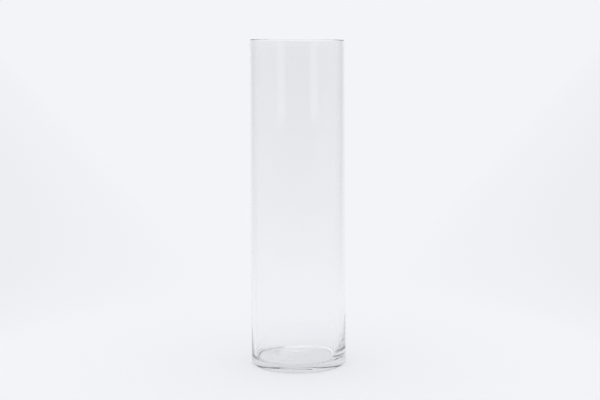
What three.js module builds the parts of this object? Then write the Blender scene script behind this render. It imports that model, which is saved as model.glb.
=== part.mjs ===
// A clear glass cylinder vase for cut flowers, standing upright.
//
// Sizes are in millimetres and +Z points up. The origin is the centre of the base, on the surface
// that the vase stands on.
//
// A blown vase is one continuous piece of glass: the wall, the solid base and the rounded rim were
// never separate, so it is one solid, turned from one section. The section runs from the middle of
// the hollow underside, round the outside to the rim, and down the inside to the middle of the floor.

import * as THREE from "three";

// Overall sizes, outside: the diameter is taken at the rim, and the foot spreads slightly beyond it
const height = 305;
const diameter = 87.6;
const footSpread = 1.7;

// Thickness of the glass: the wall is drawn thinner towards the rim, up to the lip
const wallAtRim = 3.3;
const wallAtFoot = 4.2;
const floorHeight = 6;

// Lip: fire-polishing rounds it and leaves it a little thicker than the wall, on the inside
const lipThickness = 3.6;
const lipDepth = 7;

// Corners: the heel outside, and the bottom corner inside
const heelRadius = 1.5;
const floorFilletRadius = 3.5;

// Underside: a shallow hollow, which leaves a flat ring to stand on
const standingRingWidth = 6;
const undersideRise = 0.4;

// Fineness of the round stretches
const facetsAround = 72;
const divisionsPerArc = 3;

const rightAngle = Math.PI / 2;

function makeSection() {
  const rimRadius = diameter / 2;
  const footRadius = (diameter + footSpread) / 2;
  const innerRimRadius = rimRadius - wallAtRim;
  const innerFootRadius = footRadius - wallAtFoot;

  // The top of the lip is a full round, as wide as the lip is thick
  const lipRadius = lipThickness / 2;
  const lipCentreRadius = rimRadius - lipRadius;
  const lipCentreHeight = height - lipRadius;

  // The standing ring ends where the heel's curve begins
  const heelCentreRadius = footRadius - heelRadius;
  const hollowRadius = heelCentreRadius - standingRingWidth;

  // The hollow is part of a large sphere that meets the ring at hollowRadius
  const hollowSphereRadius = (hollowRadius ** 2 + undersideRise ** 2) / (2 * undersideRise);
  const hollowHalfAngle = Math.asin(hollowRadius / hollowSphereRadius);

  const filletCentreRadius = innerFootRadius - floorFilletRadius;
  const filletCentreHeight = floorHeight + floorFilletRadius;

  const section = new THREE.Path();
  section.moveTo(0, undersideRise);
  section.absarc(
    0,
    undersideRise - hollowSphereRadius,
    hollowSphereRadius,
    rightAngle,
    rightAngle - hollowHalfAngle,
    true
  );
  section.lineTo(heelCentreRadius, 0);
  section.absarc(heelCentreRadius, heelRadius, heelRadius, -rightAngle, 0, false);
  section.lineTo(rimRadius, lipCentreHeight);
  section.absarc(lipCentreRadius, lipCentreHeight, lipRadius, 0, rightAngle, false);
  section.absarc(lipCentreRadius, lipCentreHeight, lipRadius, rightAngle, 2 * rightAngle, false);
  section.lineTo(innerRimRadius, height - lipDepth);
  section.lineTo(innerFootRadius, filletCentreHeight);
  section.absarc(filletCentreRadius, filletCentreHeight, floorFilletRadius, 0, -rightAngle, true);
  section.lineTo(0, floorHeight);
  return section.getPoints(divisionsPerArc);
}

function makeVessel() {
  const clearGlass = new THREE.MeshStandardMaterial({
    color: 0xe6ebee,
    roughness: 0.04,
    metalness: 0,
    transparent: true,
    opacity: 0.35,
  });
  const vessel = new THREE.Mesh(new THREE.LatheGeometry(makeSection(), facetsAround), clearGlass);
  vessel.name = "glass_vessel";
  // A lathe turns its section about Y, so the vessel is stood up along Z
  vessel.rotation.x = rightAngle;
  return vessel;
}

const vase = new THREE.Group();
vase.add(makeVessel());

export default vase;
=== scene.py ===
"""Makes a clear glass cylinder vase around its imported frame, on a pale studio floor.

Sizes are in metres. +Z runs up the vase's axis, and the origin is the centre of its base.
"""

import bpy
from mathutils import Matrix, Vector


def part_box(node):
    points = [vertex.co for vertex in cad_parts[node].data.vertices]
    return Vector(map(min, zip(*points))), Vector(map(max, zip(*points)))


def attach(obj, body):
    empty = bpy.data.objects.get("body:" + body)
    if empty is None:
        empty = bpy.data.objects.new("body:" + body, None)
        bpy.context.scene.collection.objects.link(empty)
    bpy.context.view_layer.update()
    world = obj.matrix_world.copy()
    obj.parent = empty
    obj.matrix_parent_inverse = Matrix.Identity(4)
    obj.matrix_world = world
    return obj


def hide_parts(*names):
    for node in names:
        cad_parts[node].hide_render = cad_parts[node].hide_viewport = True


bl_info = {
    "name": "Glass Cylinder Vase",
    "version": (1, 0, 0),
    "blender": (4, 5, 0),
    "location": "View3D > Sidebar > Vase",
    "description": "Makes a blown glass cylinder vase, its glass and a pale studio stage",
    "category": "Add Mesh",
}

import math

import bmesh
import bpy
from bpy.props import FloatProperty, FloatVectorProperty, IntProperty, PointerProperty
from mathutils import Quaternion, Vector

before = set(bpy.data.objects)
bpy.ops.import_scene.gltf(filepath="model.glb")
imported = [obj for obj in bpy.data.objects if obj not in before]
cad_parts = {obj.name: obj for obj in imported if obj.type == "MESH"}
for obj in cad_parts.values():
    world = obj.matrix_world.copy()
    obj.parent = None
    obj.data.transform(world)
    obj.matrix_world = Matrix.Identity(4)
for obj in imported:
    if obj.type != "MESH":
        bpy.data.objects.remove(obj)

VESSEL_NODE = "glass_vessel"
FRAME_LOW, FRAME_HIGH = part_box(VESSEL_NODE)
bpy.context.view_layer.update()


# ---- Sizes and colours ----


def length(name, description, default):
    """A length that a user may change, in metres."""
    return FloatProperty(name=name, description=description, default=default, subtype="DISTANCE", precision=5)


def fraction(name, description, default):
    """A share from 0 to 1 that a user may change."""
    return FloatProperty(name=name, description=description, default=default, subtype="FACTOR", min=0, max=1)


def tone(name, description, default):
    """A colour that a user may change."""
    return FloatVectorProperty(
        name=name, description=description, default=default, subtype="COLOR", size=3, min=0, max=1
    )


class VesselSizes(bpy.types.PropertyGroup):
    """The sizes of the glass."""

    height: length("Height", "From the table to the top of the rim", FRAME_HIGH.z - FRAME_LOW.z)
    foot_diameter: length("Foot diameter", "Outside, just above the heel", FRAME_HIGH.x - FRAME_LOW.x)
    foot_spread: length("Foot spread", "How much wider the foot is than the rim", 0.0017)
    wall_at_rim: length("Wall at the rim", "Thickness of the glass just below the lip", 0.0033)
    wall_at_foot: length("Wall at the foot", "Thickness of the glass above the floor", 0.0042)
    lip_thickness: length("Lip thickness", "Thickness of the rounded lip", 0.0036)
    lip_depth: length("Lip depth", "From the top of the rim to where the lip's thickening ends", 0.007)
    floor_height: length("Floor height", "Height of the inner floor above the table", 0.006)
    floor_fillet: length("Floor fillet", "Radius of the corner between the floor and the wall", 0.0035)
    heel_radius: length("Heel radius", "Radius of the outside bottom corner", 0.0015)
    ring_width: length("Standing ring", "Width of the flat ring that the vase stands on", 0.006)
    underside_rise: length("Underside rise", "Depth of the hollow under the base", 0.0004)
    lean: length("Lean of the bore", "How far the inside sits off centre at the floor", 0.0008)
    gather: length("Gather", "Extra glass low down, all round", 0.0012)
    heavy_side: length("Heavy side", "Extra glass low down on the thick side", 0.0026)
    rim_drop: length("Rim drop", "How much lower the rim is on the thick side", 0.0010)
    rim_wave: length("Rim wave", "How much the top of the rim rises and falls", 0.00025)
    ripple: length("Wall ripple", "Height of the draw lines on the inside wall", 0.00004)
    floor_wave: length("Floor wave", "Height of the waves in the inner floor", 0.00025)
    around: IntProperty(name="Steps around", description="Faces round the vase", default=320, min=16)


class GlassFinish(bpy.types.PropertyGroup):
    """The look of the glass."""

    tint: tone("Tint", "Colour that deep glass takes on", (0.86, 0.864, 0.87))
    depth: FloatProperty(
        name="Depth of tint", description="How fast the tint builds up, for each metre", default=20.0, min=0
    )
    film: fraction("Surface film", "Roughness of the faint marks that washing leaves", 0.012)


class StageSettings(bpy.types.PropertyGroup):
    """The floor, the room and its lights."""

    floor_colour: tone("Floor", "Colour of the floor near the vase", (0.896, 0.904, 0.939))
    room_colour: tone("Room", "Colour of the dim room in front", (0.145, 0.145, 0.150))
    # The floor's glow is painted light: the floor gives off light of its own, and this lightens the shadows
    # on it.
    glow: fraction("Glow", "Share of the floor's brightness that it gives off itself", 0.62)
    clear_radius: length("Clear radius", "How far the floor stays evenly bright", 0.3)
    fade_length: length("Fade length", "How much further it is about half faded", 0.92)
    dome_strength: FloatProperty(
        name="Dome", description="Brightness of the soft light from all round", default=1.0, min=0
    )
    strip_strength: FloatProperty(
        name="Strips", description="Power of each tall strip light", subtype="POWER", default=1.5, min=0
    )
    eye_distance: length("Camera distance", "From the vase's axis, along the floor", 1.149)
    eye_height: length("Camera height", "Above the floor", 0.308)
    lens: FloatProperty(name="Lens", description="Focal length", default=74.2, min=1)


# ---- Node trees as expressions ----


class Value:
    """A number socket. Arithmetic on it adds Math nodes to its tree."""

    def __init__(self, tree, socket):
        self.tree = tree
        self.socket = socket

    def _math(self, operation, first, second):
        node = self.tree.node("ShaderNodeMath", {"operation": operation}, {0: first, 1: second})
        return node.value()

    def __add__(self, other):
        return self._math("ADD", self, other)

    __radd__ = __add__

    def __mul__(self, other):
        return self._math("MULTIPLY", self, other)

    __rmul__ = __mul__

    def __truediv__(self, other):
        return self._math("DIVIDE", self, other)

    def __rtruediv__(self, other):
        return self._math("DIVIDE", other, self)

    def __pow__(self, other):
        return self._math("POWER", self, other)

    def __rpow__(self, other):
        return self._math("POWER", other, self)


class Made:
    """A node that a Tree has made."""

    def __init__(self, tree, node):
        self.tree = tree
        self.node = node

    def out(self, name=0):
        return self.node.outputs[name]

    def value(self, name=0):
        return Value(self.tree, self.node.outputs[name])


class Tree:
    """The node tree of a material or a world, emptied."""

    def __init__(self, owner):
        owner.use_nodes = True
        self.nodes = owner.node_tree.nodes
        self.links = owner.node_tree.links
        self.nodes.clear()

    def node(self, kind, settings=None, sockets=None):
        """Adds a node. Settings are set first, then each socket gets its value or its link."""
        node = self.nodes.new(kind)
        for name, setting in (settings or {}).items():
            setattr(node, name, setting)
        for name, source in (sockets or {}).items():
            if isinstance(source, Value):
                source = source.socket
            if isinstance(source, bpy.types.NodeSocket):
                self.links.new(source, node.inputs[name])
            else:
                node.inputs[name].default_value = source
        return Made(self, node)

    def mix(self, amount, first, second):
        """A colour between first and second."""
        node = self.node("ShaderNodeMix", {"data_type": "RGBA"}, {"Factor": amount, 6: first, 7: second})
        return node.out(2)

    def smooth_step(self, value, low, high):
        """0 below low, 1 above high and a smooth rise between."""
        node = self.node(
            "ShaderNodeMapRange",
            {"interpolation_type": "SMOOTHSTEP"},
            {"Value": value, "From Min": low, "From Max": high},
        )
        return node.value()

    def ramp(self, value, start, end):
        """0 at start, 1 at end, straight between and level beyond."""
        node = self.node("ShaderNodeMapRange", None, {"Value": value, "From Min": start, "From Max": end})
        return node.value()


# ---- The shape of the glass ----

# How many faces each stretch of the section is divided into
HOLLOW_STEPS = 24
RING_STEPS = 4
HEEL_STEPS = 16
OUTSIDE_STEPS = 24
LIP_STEPS = 10
LIP_TAPER_STEPS = 16
BORE_STEPS = 60
FILLET_STEPS = 20
FLOOR_STEPS = 44

# The thick side is turned this far from +X, in radians
THICK_SIDE_TURN = 0.15
# The extra glass low down falls to about a third over each such rise above the floor
GATHER_HEIGHT = 0.012
# The extra glass dies away over the floor as this power of the distance from the axis
SWELL_POWER = 3

# Lines drawn down the inside wall: how many go round, their share of the ripple and where they start
DRAW_LINES = ((3, 0.9, 0.4), (7, 0.55, 2.1), (11, 0.4, 4.4))
# How far the lines wander sideways on their way up, and how often, in radians
TWIST = 0.35
TWIST_TURN = 2.6

# Rings in the inner floor: centre X and Y, radius, width and share of the wave's height
FLOOR_RINGS = (
    (-0.004, 0.003, 0.012, 0.0035, 0.8),
    (0.006, -0.002, 0.024, 0.0050, -0.6),
    (0.001, 0.004, 0.031, 0.0040, 0.5),
)
# A ring is uneven: its mean height, how much that changes round it, and what sets where it is highest
RING_MEAN = 0.65
RING_CHANGE = 0.35
RING_START = 300

# Waves round the top of the rim: how many go round and where they start
LIP_WAVES = ((9, 0.8), (17, 2.9))
# The rim's drop and its waves die away downwards as these powers of the height
DROP_POWER = 6
WAVE_POWER = 40


def arc(centre_radius, centre_height, radius, start, end, steps):
    """Points on an arc in the section, from start to end in degrees. The first one is left out."""
    points = []
    for step in range(1, steps + 1):
        angle = math.radians(start + (end - start) * step / steps)
        points.append((centre_radius + radius * math.cos(angle), centre_height + radius * math.sin(angle)))
    return points


def straight(start, end, steps):
    """Points on a straight stretch of the section. The first one is left out."""
    points = []
    for step in range(1, steps + 1):
        share = step / steps
        points.append(tuple(a + (b - a) * share for a, b in zip(start, end)))
    return points


def check_sizes(sizes):
    """Raises an error for sizes that would make the section cross itself."""
    foot_radius = sizes.foot_diameter / 2
    if sizes.wall_at_foot + sizes.floor_fillet >= foot_radius:
        raise ValueError("The wall and the floor's corner leave no flat floor")
    if sizes.heel_radius + sizes.ring_width >= foot_radius:
        raise ValueError("The heel and the standing ring leave no hollow")
    if sizes.floor_height + sizes.floor_fillet >= sizes.height - sizes.lip_depth:
        raise ValueError("The floor reaches the lip")


def rim_radius_of(sizes):
    """The outside radius at the rim, which is narrower than the foot by the spread."""
    return (sizes.foot_diameter - sizes.foot_spread) / 2


def outside_section(sizes):
    """The section from the middle of the underside, round the outside, to the top of the lip."""
    rim_radius = rim_radius_of(sizes)
    foot_radius = sizes.foot_diameter / 2
    heel_centre = foot_radius - sizes.heel_radius
    hollow_radius = heel_centre - sizes.ring_width
    hollow_sphere = (hollow_radius**2 + sizes.underside_rise**2) / (2 * sizes.underside_rise)
    hollow_angle = math.degrees(math.asin(hollow_radius / hollow_sphere))
    lip_radius = sizes.lip_thickness / 2

    section = [(0.0, sizes.underside_rise)]
    section += arc(
        0.0, sizes.underside_rise - hollow_sphere, hollow_sphere, 90, 90 - hollow_angle, HOLLOW_STEPS
    )
    section += straight((hollow_radius, 0.0), (heel_centre, 0.0), RING_STEPS)
    section += arc(heel_centre, sizes.heel_radius, sizes.heel_radius, -90, 0, HEEL_STEPS)
    section += straight(section[-1], (rim_radius, sizes.height - lip_radius), OUTSIDE_STEPS)
    section += arc(rim_radius - lip_radius, sizes.height - lip_radius, lip_radius, 0, 90, LIP_STEPS)
    return section


def inside_section(sizes):
    """The section from the top of the lip, down the inside, to the middle of the floor."""
    lip_radius = sizes.lip_thickness / 2
    lip_centre = rim_radius_of(sizes) - lip_radius
    bore_at_rim = rim_radius_of(sizes) - sizes.wall_at_rim
    bore_at_foot = sizes.foot_diameter / 2 - sizes.wall_at_foot
    fillet_centre = bore_at_foot - sizes.floor_fillet
    fillet_top = sizes.floor_height + sizes.floor_fillet

    section = arc(lip_centre, sizes.height - lip_radius, lip_radius, 90, 180, LIP_STEPS)
    wall_top = (bore_at_rim, sizes.height - sizes.lip_depth)
    section += straight(section[-1], wall_top, LIP_TAPER_STEPS)
    section += straight(wall_top, (bore_at_foot, fillet_top), BORE_STEPS)
    section += arc(fillet_centre, fillet_top, sizes.floor_fillet, 0, -90, FILLET_STEPS)
    section += straight((fillet_centre, sizes.floor_height), (0.0, sizes.floor_height), FLOOR_STEPS)
    return section


def bell(distance, width):
    """1 at no distance, falling smoothly to nothing a few widths away."""
    return math.exp(-((distance / width) ** 2))


def inward_swell(sizes, angle, height):
    """How far the inside wall stands in from its true circle. The thick side is about towards +X."""
    low = 1 - height / sizes.height
    swell = sizes.lean * low * math.cos(angle)
    above_floor = max(height - sizes.floor_height, 0.0)
    thick_side = (0.5 + 0.5 * math.cos(angle - THICK_SIDE_TURN)) ** 2
    swell += (sizes.gather + sizes.heavy_side * thick_side) * math.exp(-above_floor / GATHER_HEIGHT)
    for waves, size, phase in DRAW_LINES:
        twist = TWIST * math.sin(waves + height / sizes.height * TWIST_TURN)
        swell += sizes.ripple * size * math.cos(waves * angle + phase + twist)
    return swell


def floor_relief(sizes, x, y):
    """How far the inner floor stands above its true plane, from rings left by the blowing."""
    relief = 0.0
    for ring_x, ring_y, ring_radius, width, size in FLOOR_RINGS:
        distance = math.hypot(x - ring_x, y - ring_y) - ring_radius
        turn = math.atan2(y - ring_y, x - ring_x)
        change = RING_CHANGE * math.cos(turn * 2 + ring_radius * RING_START)
        relief += size * bell(distance, width) * (RING_MEAN + change)
    return sizes.floor_wave * relief


def lip_waves(angle):
    """Uneven waves round the lip, from 0 to 1."""
    rise = 0.5
    for waves, phase in LIP_WAVES:
        rise += 0.25 * math.sin(waves * angle + phase)
    return rise


def level_of(sizes, height, angle):
    """The height that a point really has, because the rim isn't quite level or smooth."""
    thick_side = 0.5 + 0.5 * math.cos(angle)
    share = height / sizes.height
    drop = sizes.rim_drop * thick_side * share**DROP_POWER
    return height - drop - sizes.rim_wave * lip_waves(angle) * share**WAVE_POWER


def place_outside(sizes, radius, height, angle):
    """A point on the outside surface."""
    return Vector((radius * math.cos(angle), radius * math.sin(angle), level_of(sizes, height, angle)))


def place_inside(sizes, radius, height, angle):
    """A point on the uneven inside surface."""
    bore = sizes.foot_diameter / 2 - sizes.wall_at_foot
    near_wall = min(radius / bore, 1.0) ** SWELL_POWER
    lip_radius = sizes.lip_thickness / 2
    below_top = (sizes.height - height) / lip_radius
    below_lip = max(0.0, min(1.0, below_top))
    radius -= inward_swell(sizes, angle, height) * near_wall * below_lip
    x, y = radius * math.cos(angle), radius * math.sin(angle)
    on_floor = max(0.0, 1 - (height - sizes.floor_height) / sizes.floor_fillet)
    return Vector((x, y, level_of(sizes, height, angle) + floor_relief(sizes, x, y) * on_floor**2))


def make_ring(mesh, place, sizes, radius, height):
    """Corners all round the vase for one point of its section."""
    ring = []
    for step in range(sizes.around):
        angle = 2 * math.pi * step / sizes.around
        ring.append(mesh.verts.new(place(sizes, radius, height, angle)))
    return ring


def glass_mesh(sizes):
    """The whole vase as one closed surface, turned from its section."""
    check_sizes(sizes)
    outside = outside_section(sizes)
    inside = inside_section(sizes)
    mesh = bmesh.new()
    bottom = mesh.verts.new((0, 0, outside[0][1]))
    top = mesh.verts.new(place_inside(sizes, 0.0, sizes.floor_height, 0.0))
    rings = [make_ring(mesh, place_outside, sizes, *point) for point in outside[1:]]
    rings += [make_ring(mesh, place_inside, sizes, *point) for point in inside[:-1]]
    for step in range(sizes.around):
        following = (step + 1) % sizes.around
        mesh.faces.new((bottom, rings[0][following], rings[0][step]))
        mesh.faces.new((top, rings[-1][step], rings[-1][following]))
        for ring, next_ring in zip(rings, rings[1:]):
            mesh.faces.new((ring[step], ring[following], next_ring[following], next_ring[step]))
    for face in mesh.faces:
        face.smooth = True
    mesh.normal_update()
    data = bpy.data.meshes.new("vase_glass")
    mesh.to_mesh(data)
    mesh.free()
    return data


# ---- The glass itself ----

GLASS_IOR = 1.52
# Colour of clean glass, and of glass under the film that washing leaves
CLEAN = (1.0, 1.0, 1.0, 1.0)
FILMED = (0.985, 0.99, 0.995, 1.0)
# The film lies in clouds: below the first level of the noise there is none, above the second it is full
CLOUD_LEVELS = (0.52, 0.75)
# Roughness of the film where its specks are faintest, as a share
LEAST_SPECKS = 0.4


def glass_material(finish):
    """Clear soda glass with a faint tint in its depth and a washed, slightly marked surface."""
    material = bpy.data.materials.new("clear_glass")
    tree = Tree(material)
    place = tree.node("ShaderNodeTexCoord").out("Object")
    clouds = tree.node(
        "ShaderNodeTexNoise", None, {"Vector": place, "Scale": 22.0, "Detail": 4.0, "Roughness": 0.6}
    ).value()
    specks = tree.node(
        "ShaderNodeTexNoise", None, {"Vector": place, "Scale": 420.0, "Detail": 2.0, "Roughness": 0.5}
    ).value()
    marks = tree.smooth_step(clouds, *CLOUD_LEVELS)
    glass = tree.node(
        "ShaderNodeBsdfPrincipled",
        None,
        {
            "Base Color": tree.mix(marks, CLEAN, FILMED),
            "Roughness": marks * finish.film * (LEAST_SPECKS + specks),
            "IOR": GLASS_IOR,
            "Transmission Weight": 1.0,
        },
    )
    depth = tree.node(
        "ShaderNodeVolumeAbsorption", None, {"Color": (*finish.tint, 1.0), "Density": finish.depth}
    )
    tree.node("ShaderNodeOutputMaterial", None, {"Surface": glass.out(), "Volume": depth.out()})
    return material


# ---- The stage ----

FLOOR_RADIUS = 400.0
FLOOR_EDGES = 96
# The floor lies this far under the vase, so that the two surfaces don't coincide
FLOOR_GAP = 0.0002
# Share of the fade at which the floor has wholly turned into the room, which is some 12 m away
FADE_END = 0.93

# Cosine of the angle from straight back within which the room counts as behind, about 14 degrees
BEHIND = 0.97
# A power below 1 dims the sides early, and the last number keeps the centre from dividing by nothing
DIM_POWER = 0.6
NOT_NOTHING = 1e-6

# The dome overhead, in front and at the back, and the band under it
DOME_FRONT = (0.96, 0.96, 0.965, 1.0)
DOME_BACK = (1.12, 1.12, 1.125, 1.0)
BAND = (0.915, 0.92, 0.935, 1.0)
# Where the band and the dome take over, as sines of the angle above the horizon
BAND_RISE = (0.02, 0.30)
DOME_RISE = (0.35, 0.60)

# The strip lights: their size, how far away and how high they stand, and their angle from the front
STRIP_WIDTH = 0.9
STRIP_LENGTH = 2.0
STRIP_DISTANCE = 2.5
STRIP_CENTRE = 1.05
STRIP_ANGLE = 43

SENSOR_WIDTH = 36.0
CAMERA_RANGE = 1000.0
CAMERA_TARGET = Vector((0.0019, 0.0, 0.1551))
# In degrees, about the line of sight
CAMERA_ROLL = -0.27

# Light that runs inside the wall and the base turns back many times before it leaves
TRAPPED_BOUNCES = 96

BLACK = (0.0, 0.0, 0.0, 1.0)


def away_from_back(tree, x, y):
    """0 straight behind the vase, rising through its sides to 1 straight in front of it."""
    across = (x * x + y * y + NOT_NOTHING) ** 0.5
    return tree.ramp(y / across, BEHIND, -1.0) ** DIM_POWER


def floor_material(stage):
    """A pale floor with painted light and painted shade: it glows a little, and its colour is painted darker
    towards the dim room in front and beside.
    """
    material = bpy.data.materials.new("studio_floor")
    material.cycles.emission_sampling = "NONE"
    tree = Tree(material)
    place = tree.node("ShaderNodeTexCoord").out("Object")
    parts = tree.node("ShaderNodeSeparateXYZ", None, {"Vector": place})
    x, y = parts.value("X"), parts.value("Y")
    beyond = tree.ramp((x * x + y * y) ** 0.5, stage.clear_radius, FLOOR_RADIUS) * FLOOR_RADIUS
    fade = tree.ramp(beyond / (beyond + stage.fade_length), 0.0, FADE_END)
    # Painted shade: away from the vase, in front and beside, the floor's colour darkens towards the room's
    # colour. This stands in for floor that no light reaches.
    painted_shade = fade * away_from_back(tree, x, y)
    colour = tree.mix(painted_shade, (*stage.floor_colour, 1.0), (*stage.room_colour, 1.0))
    # The glow is painted light: the floor gives off light of its own, which lightens the vase's shadow on it.
    shader = tree.node(
        "ShaderNodeBsdfPrincipled",
        None,
        {
            "Base Color": tree.mix(stage.glow, colour, BLACK),
            "Roughness": 1.0,
            "Specular IOR Level": 0.0,
            "Emission Color": colour,
            "Emission Strength": stage.glow,
        },
    )
    tree.node("ShaderNodeOutputMaterial", None, {"Surface": shader.out()})
    return material


def make_floor(stage):
    """A round floor so wide that its edge lies at the horizon."""
    if not 0 <= stage.clear_radius < FLOOR_RADIUS:
        raise ValueError("The evenly bright floor has to be smaller than the whole floor")
    mesh = bmesh.new()
    bmesh.ops.create_circle(mesh, cap_ends=True, segments=FLOOR_EDGES, radius=FLOOR_RADIUS)
    data = bpy.data.meshes.new("studio_floor")
    mesh.to_mesh(data)
    mesh.free()
    floor = bpy.data.objects.new("studio_floor", data)
    floor.location.z = -FLOOR_GAP
    bpy.context.collection.objects.link(floor)
    data.materials.append(floor_material(stage))
    return floor


def make_room(stage):
    """Soft light from all round: dim low down in front, pale behind and higher up, brightest overhead."""
    world = bpy.data.worlds.new("studio_room")
    bpy.context.scene.world = world
    tree = Tree(world)
    toward = tree.node("ShaderNodeTexCoord").out("Generated")
    parts = tree.node("ShaderNodeSeparateXYZ", None, {"Vector": toward})
    x, y, z = parts.value("X"), parts.value("Y"), parts.value("Z")
    around = tree.mix(away_from_back(tree, x, y), (*stage.floor_colour, 1.0), (*stage.room_colour, 1.0))
    above = tree.mix(tree.ramp(y, -1.0, 1.0), DOME_FRONT, DOME_BACK)
    wall = tree.mix(tree.smooth_step(z, *BAND_RISE), around, BAND)
    colour = tree.mix(tree.smooth_step(z, *DOME_RISE), wall, above)
    light = tree.node("ShaderNodeBackground", None, {"Color": colour, "Strength": stage.dome_strength})
    tree.node("ShaderNodeOutputWorld", None, {"Surface": light.out()})


def make_strip(name, stage, azimuth):
    """A tall, soft light in front of the vase, turned towards its axis."""
    data = bpy.data.lights.new(name, "AREA")
    data.shape = "RECTANGLE"
    data.size = STRIP_WIDTH
    data.size_y = STRIP_LENGTH
    data.energy = stage.strip_strength
    strip = bpy.data.objects.new(name, data)
    bpy.context.collection.objects.link(strip)
    turn = math.radians(azimuth)
    strip.location = (STRIP_DISTANCE * math.sin(turn), -STRIP_DISTANCE * math.cos(turn), STRIP_CENTRE)
    strip.rotation_mode = "QUATERNION"
    strip.rotation_quaternion = Vector((math.sin(turn), -math.cos(turn), 0)).to_track_quat("Z", "Y")
    strip.visible_camera = False


def make_camera(stage):
    """A camera just above the level of the rim, tilted down and very slightly rolled."""
    data = bpy.data.cameras.new("camera")
    data.lens = stage.lens
    data.clip_end = CAMERA_RANGE
    data.sensor_width = SENSOR_WIDTH
    camera = bpy.data.objects.new("camera", data)
    bpy.context.collection.objects.link(camera)
    camera.location = (0.0, -stage.eye_distance, stage.eye_height)
    level = (camera.location - CAMERA_TARGET).to_track_quat("Z", "Y")
    camera.rotation_mode = "QUATERNION"
    camera.rotation_quaternion = level @ Quaternion((0, 0, 1), math.radians(CAMERA_ROLL))
    bpy.context.scene.camera = camera


# ---- Operators and panel ----


class VASE_OT_glass_vessel(bpy.types.Operator):
    """Make the vase, one piece of glass"""

    bl_idname = "vase.glass_vessel"
    bl_label = "Glass Vessel"

    def execute(self, context):
        data = glass_mesh(context.scene.vase_sizes)
        data.materials.append(glass_material(context.scene.vase_glass))
        vessel = bpy.data.objects.new("vase_glass", data)
        context.collection.objects.link(vessel)
        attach(vessel, "root")
        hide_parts(VESSEL_NODE)
        return {"FINISHED"}


class VASE_OT_stage(bpy.types.Operator):
    """Make the floor, the room's light and the camera"""

    bl_idname = "vase.stage"
    bl_label = "Stage"

    def execute(self, context):
        stage = context.scene.vase_stage
        make_floor(stage)
        make_room(stage)
        make_strip("strip_left", stage, -STRIP_ANGLE)
        make_strip("strip_right", stage, STRIP_ANGLE)
        make_camera(stage)
        context.scene.view_settings.view_transform = "Standard"
        context.scene.cycles.max_bounces = TRAPPED_BOUNCES
        context.scene.cycles.transmission_bounces = TRAPPED_BOUNCES
        context.scene.cycles.glossy_bounces = TRAPPED_BOUNCES
        return {"FINISHED"}


class VASE_PT_panel(bpy.types.Panel):
    """Everything that makes the vase and its stage"""

    bl_idname = "VASE_PT_panel"
    bl_label = "Glass Cylinder Vase"
    bl_space_type = "VIEW_3D"
    bl_region_type = "UI"
    bl_category = "Vase"

    def draw(self, context):
        for operator, settings in (
            (VASE_OT_glass_vessel, (context.scene.vase_sizes, context.scene.vase_glass)),
            (VASE_OT_stage, (context.scene.vase_stage,)),
        ):
            box = self.layout.box()
            box.operator(operator.bl_idname)
            for group in settings:
                for name in group.__annotations__:
                    box.prop(group, name)


CLASSES = (
    VesselSizes,
    GlassFinish,
    StageSettings,
    VASE_OT_glass_vessel,
    VASE_OT_stage,
    VASE_PT_panel,
)


def register():
    """Makes the classes and their settings known to Blender."""
    for made_class in CLASSES:
        bpy.utils.register_class(made_class)
    bpy.types.Scene.vase_sizes = PointerProperty(type=VesselSizes)
    bpy.types.Scene.vase_glass = PointerProperty(type=GlassFinish)
    bpy.types.Scene.vase_stage = PointerProperty(type=StageSettings)


def unregister():
    """Takes back everything that register did."""
    del bpy.types.Scene.vase_stage
    del bpy.types.Scene.vase_glass
    del bpy.types.Scene.vase_sizes
    for made_class in reversed(CLASSES):
        bpy.utils.unregister_class(made_class)


def main():
    """Makes the stage and the vase."""
    register()
    bpy.ops.vase.stage()
    bpy.ops.vase.glass_vessel()


if __name__ == "__main__":
    main()
